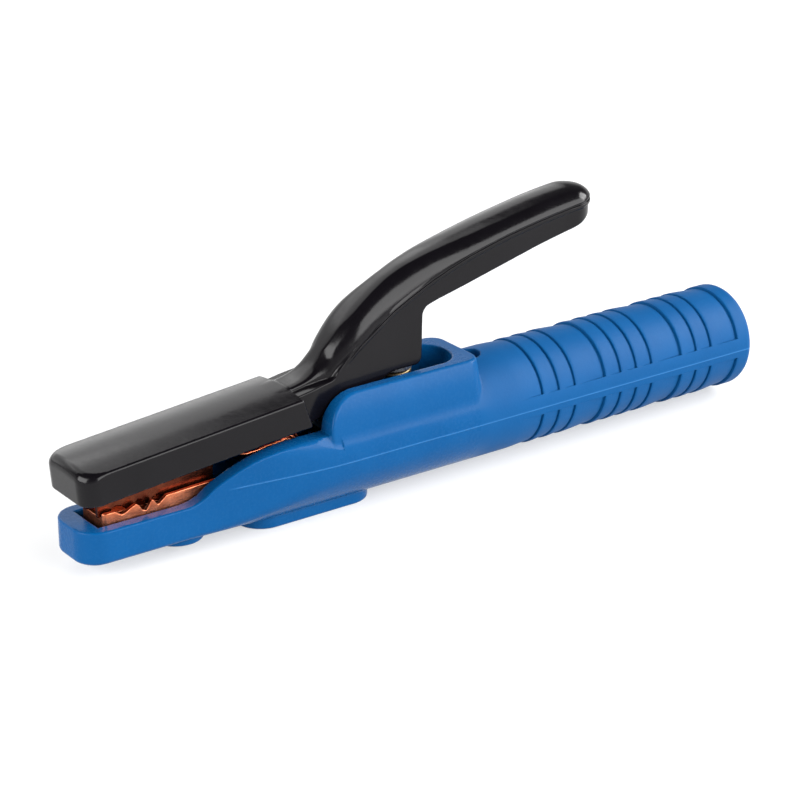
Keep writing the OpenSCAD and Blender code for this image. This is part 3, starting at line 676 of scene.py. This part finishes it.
class Shade:
    """Builds a node material: object coordinates in millimetres feed noises, colours and bump."""

    def __init__(self, name, **sockets):
        self.m = bpy.data.materials.new(name)
        self.m.use_nodes = True
        self.t = self.m.node_tree
        self.bsdf = self.t.nodes["Principled BSDF"]
        for k, v in sockets.items():
            self.bsdf.inputs[k.replace("_", " ")].default_value = v
        coord = self.t.nodes.new("ShaderNodeTexCoord")
        scale = self.t.nodes.new("ShaderNodeMapping")
        scale.inputs["Scale"].default_value = (1000, 1000, 1000)
        self.link(coord.outputs["Object"], scale.inputs["Vector"])
        self.mm = scale.outputs["Vector"]

    def link(self, a, b):
        self.t.links.new(a, b)

    def noise(self, scale, detail=2.0, stretch=None):
        n = self.t.nodes.new("ShaderNodeTexNoise")
        n.inputs["Scale"].default_value = scale
        n.inputs["Detail"].default_value = detail
        n.inputs["Roughness"].default_value = 0.5
        v = self.mm
        if stretch:
            m = self.t.nodes.new("ShaderNodeMapping")
            m.inputs["Scale"].default_value = stretch
            self.link(v, m.inputs["Vector"])
            v = m.outputs["Vector"]
        self.link(v, n.inputs["Vector"])
        return n.outputs["Fac"]

    def math(self, op, a, b=None):
        n = self.t.nodes.new("ShaderNodeMath")
        n.operation = op
        for i, v in enumerate((a, b)):
            if v is None:
                continue
            if isinstance(v, (int, float)):
                n.inputs[i].default_value = v
            else:
                self.link(v, n.inputs[i])
        return n.outputs[0]

    def remap(self, v, a, b, c, d):
        """v with its range a to b stretched to c to d."""
        n = self.t.nodes.new("ShaderNodeMapRange")
        for i, x in enumerate((a, b, c, d)):
            n.inputs[i + 1].default_value = x
        self.link(v, n.inputs[0])
        return n.outputs[0]

    def ramp(self, v, *stops):
        n = self.t.nodes.new("ShaderNodeValToRGB")
        set_stops(n, stops)
        self.link(v, n.inputs[0])
        return n.outputs["Color"]

    def mix(self, fac, a, b):
        n = self.t.nodes.new("ShaderNodeMix")
        n.data_type = "RGBA"
        for v, i in ((fac, 0), (a, 6), (b, 7)):
            if isinstance(v, (int, float)):
                n.inputs[i].default_value = v
            elif isinstance(v, tuple):
                n.inputs[i].default_value = (*v, 1)
            else:
                self.link(v, n.inputs[i])
        return n.outputs[2]

    def axis(self, which):
        n = self.t.nodes.new("ShaderNodeSeparateXYZ")
        self.link(self.mm, n.inputs[0])
        return n.outputs[which]

    def colour(self, v):
        self.link(v, self.bsdf.inputs["Base Color"])

    def rough(self, v):
        self.link(v, self.bsdf.inputs["Roughness"])

    def bump(self, height_mm):
        n = self.t.nodes.new("ShaderNodeBump")
        n.inputs["Strength"].default_value = 1.0
        n.inputs["Distance"].default_value = 0.001
        self.link(height_mm, n.inputs["Height"])
        self.link(n.outputs["Normal"], self.bsdf.inputs["Normal"])


def blue_nylon():
    s = Shade("blue_nylon", Specular_IOR_Level=0.09)
    x, z = s.axis(0), s.axis(2)
    grip_part = s.remap(x, ORIGIN[0] - 40, ORIGIN[0] - 33, 0, 1)
    cloud = s.noise(0.05, 3)
    fine = s.noise(0.9, 3)
    base = s.ramp(cloud, (0.3, (0.0014, 0.058, 0.182)), (0.7, (0.0020, 0.066, 0.202)))
    specks = s.ramp(s.noise(1.7, 1), (0.76, (0, 0, 0)), (0.82, (1, 1, 1)))
    base = s.mix(s.math("MULTIPLY", specks, 0.06), base, (0.20, 0.32, 0.50))
    # Painted highlight: a lighter blue stripe along the mould line at z = 0, faded in from x = -131 to -126
    # and kept rearward of that
    line = s.remap(s.math("ABSOLUTE", s.math("SUBTRACT", z, float(ORIGIN[2]))), 0.10, 0.26, 0.3, 0)
    line = s.math("MULTIPLY", line, s.remap(x, ORIGIN[0] - 131, ORIGIN[0] - 126, 0, 1))
    base = s.mix(line, base, (0.05, 0.22, 0.50))
    s.colour(base)
    worn = s.remap(fine, 0.3, 0.7, -0.02, 0.02)
    s.rough(s.math("ADD", s.remap(grip_part, 0, 1, 0.27, 0.52), worn))
    peel = s.math("MULTIPLY", s.noise(1.3, 2), s.remap(grip_part, 0, 1, 0.0008, 0.035))
    soft = s.math("MULTIPLY", s.noise(0.16, 1), 0.02)
    s.bump(s.math("ADD", peel, soft))
    return s.m


def black_nylon():
    s = Shade("black_nylon", Specular_IOR_Level=0.20)
    s.colour(s.ramp(s.noise(0.06, 2), (0.3, (0.0022, 0.0018, 0.0026)), (0.7, (0.0032, 0.0027, 0.0038))))
    s.rough(s.remap(s.noise(0.5, 3), 0.3, 0.7, 0.15, 0.21))
    peel = s.math("MULTIPLY", s.noise(1.1, 2), 0.010)
    soft = s.math("MULTIPLY", s.noise(0.12, 2), 0.045)
    s.bump(s.math("ADD", peel, soft))
    return s.m


def metal(name, low, high, rough, grain, tarnish=None):
    """A metal between two colours, brushed along grain, with patches of tarnish."""
    s = Shade(name, Metallic=1.0)
    base = s.ramp(s.noise(0.35, 4), (0.3, low), (0.7, high))
    if tarnish:
        patches = s.ramp(s.noise(0.14, 3), (0.50, (0, 0, 0)), (0.75, (0.8, 0.8, 0.8)))
        base = s.mix(patches, base, tarnish)
    s.colour(base)
    brushed = s.noise(2.2, 3, stretch=grain)
    s.rough(s.remap(brushed, 0.3, 0.7, rough - 0.08, rough + 0.08))
    s.bump(s.math("MULTIPLY", brushed, 0.02))
    return s.m


def fibre():
    s = Shade("fibre", Specular_IOR_Level=0.3)
    s.colour(s.ramp(s.noise(0.8, 4), (0.3, (0.16, 0.06, 0.03)), (0.7, (0.24, 0.10, 0.05))))
    s.rough(s.remap(s.noise(2.0, 2), 0.3, 0.7, 0.6, 0.8))
    s.bump(s.math("MULTIPLY", s.noise(2.0, 3), 0.03))
    return s.m


LENGTHWISE = (0.3, 2, 2)
MATERIALS = {
    "blue_nylon": blue_nylon(),
    "black_nylon": black_nylon(),
    "copper": metal(
        "copper", (0.52, 0.145, 0.065), (0.72, 0.24, 0.12), 0.33, LENGTHWISE, (0.30, 0.07, 0.035)),
    "brass": metal("brass", (0.55, 0.38, 0.13), (0.72, 0.52, 0.22), 0.34, LENGTHWISE, (0.35, 0.22, 0.09)),
    "bronze": metal("bronze", (0.40, 0.23, 0.09), (0.52, 0.32, 0.14), 0.40, (2, 0.3, 2)),
    "fibre": fibre(),
    "spring_steel": metal("spring_steel", (0.13, 0.095, 0.05), (0.19, 0.15, 0.085), 0.40, (1, 1, 1)),
    "plated_steel": metal(
        "plated_steel", (0.46, 0.46, 0.45), (0.62, 0.61, 0.59), 0.32, (0.4, 2, 2), (0.30, 0.27, 0.22)),
    "zinc_steel": metal("zinc_steel", (0.50, 0.51, 0.53), (0.66, 0.67, 0.70), 0.30, (2, 2, 0.4)),
}
# The upper jaw's slot is copper too; this is the same copper made darker, as painted shade for the shadow
# under the cover
PAINTED_SHADE_COPPER = metal(
    "painted_shade_copper", (0.09, 0.022, 0.012), (0.17, 0.046, 0.022), 0.28, LENGTHWISE, (0.05, 0.013, 0.008))


def finish_with(obj, slot_name):
    obj.data.materials.clear()
    obj.data.materials.append(MATERIALS[slot_name])


node_slot = {part["node"]: part["material_slot"] for part in frame["record"]["subparts"]}
for name, obj in NODE.items():
    if obj.hide_render:
        continue
    finish_with(obj, node_slot.get(name, "plated_steel"))
for obj, slot_name in (
    (body_front, "blue_nylon"), (body_grip, "blue_nylon"), (lever_skin, "black_nylon"),
    (lower_jaw_skin, "copper"), (upper_jaw_skin, "copper"), (strands, "copper"), (spring, "spring_steel"),
):
    finish_with(obj, slot_name)
# Painted shade: the upper jaw gets the darkened copper in place of its own copper
upper_jaw_skin.data.materials[0] = PAINTED_SHADE_COPPER


# ---------- floor, light and camera ----------


def floor():
    size = 6.0
    verts = [(-size, -size, 0), (size, -size, 0), (size, size, 0), (-size, size, 0)]
    obj = made("floor", verts, [[0, 1, 2, 3]])
    s = Shade("floor_white", Roughness=0.9, Specular_IOR_Level=0.1, Base_Color=(0.40, 0.40, 0.40, 1))
    s.bsdf.inputs["Emission Color"].default_value = (1, 1, 1, 1)
    s.bsdf.inputs["Emission Strength"].default_value = 0.50
    obj.data.materials.append(s.m)


floor()


MIDDLE = (0, 0, 0.03)


def area(name, place, size, power):
    """A soft box at place, aimed at the middle of the holder."""
    data = bpy.data.lights.new(name, "AREA")
    data.shape = "RECTANGLE"
    data.size, data.size_y = size
    data.energy = power
    obj = bpy.data.objects.new(name, data)
    obj.location = place
    obj.rotation_euler = (Vector(MIDDLE) - Vector(place)).to_track_quat("-Z", "Y").to_euler()
    bpy.context.scene.collection.objects.link(obj)


area("front_box", (0.638, -1.200, 0.634), (1.95, 0.92), 40)
area("right_box", (1.28, -0.40, 0.88), (0.75, 0.75), 25)
area("back_low", (0.0, 3.55, 1.61), (5.3, 2.45), 64)
area("back_high", (-0.20, 2.50, 2.99), (3.45, 2.4), 54)
area("left_box", (-1.37, -0.10, 0.62), (1.3, 0.8), 30)


def surroundings():
    """Bright below and just above the horizon, and dark overhead."""
    world = bpy.data.worlds.new("studio")
    bpy.context.scene.world = world
    world.use_nodes = True
    nodes, links = world.node_tree.nodes, world.node_tree.links
    back = nodes["Background"]
    coord = nodes.new("ShaderNodeTexCoord")
    sep = nodes.new("ShaderNodeSeparateXYZ")
    ramp = nodes.new("ShaderNodeValToRGB")
    links.new(coord.outputs["Generated"], sep.inputs[0])
    links.new(sep.outputs[2], ramp.inputs[0])
    links.new(ramp.outputs["Color"], back.inputs["Color"])
    set_stops(ramp, [(at, (v, v, v)) for at, v in ((0.0, 0.8), (0.20, 0.8), (0.36, 0.15), (1.0, 0.05))])
    back.inputs["Strength"].default_value = 1.0


surroundings()

# The camera, fitted to the photo's grip rings; its place is in the working frame
AZIMUTH, ELEVATION, ROLL = (math.radians(v) for v in (-35.898, 22.605, 0.136))
CAMERA_AT = (-495.12, -602.90, 317.34)
FOCAL, SENSOR = 2551.3 / 800, 36


def camera():
    level_part = math.cos(ELEVATION)
    away = Vector((math.sin(AZIMUTH) * level_part, -math.cos(AZIMUTH) * level_part, math.sin(ELEVATION)))
    cam = bpy.data.objects.new("camera", bpy.data.cameras.new("camera"))
    bpy.context.scene.collection.objects.link(cam)
    level = (-away).cross(Vector((0, 0, 1))).normalized()
    upright = level.cross(-away)
    side = level * math.cos(ROLL) + upright * math.sin(ROLL)
    upward = upright * math.cos(ROLL) - level * math.sin(ROLL)
    turn = Matrix((side, upward, away)).transposed().to_4x4()
    cam.matrix_world = Matrix.Translation(Vector(row(CAMERA_AT))) @ turn
    cam.data.sensor_width = SENSOR
    cam.data.lens = FOCAL * SENSOR
    cam.data.clip_start, cam.data.clip_end = 0.01, 50
    bpy.context.scene.camera = cam


camera()
bpy.context.scene.view_settings.view_transform = "Standard"

bpy.context.view_layer.update()
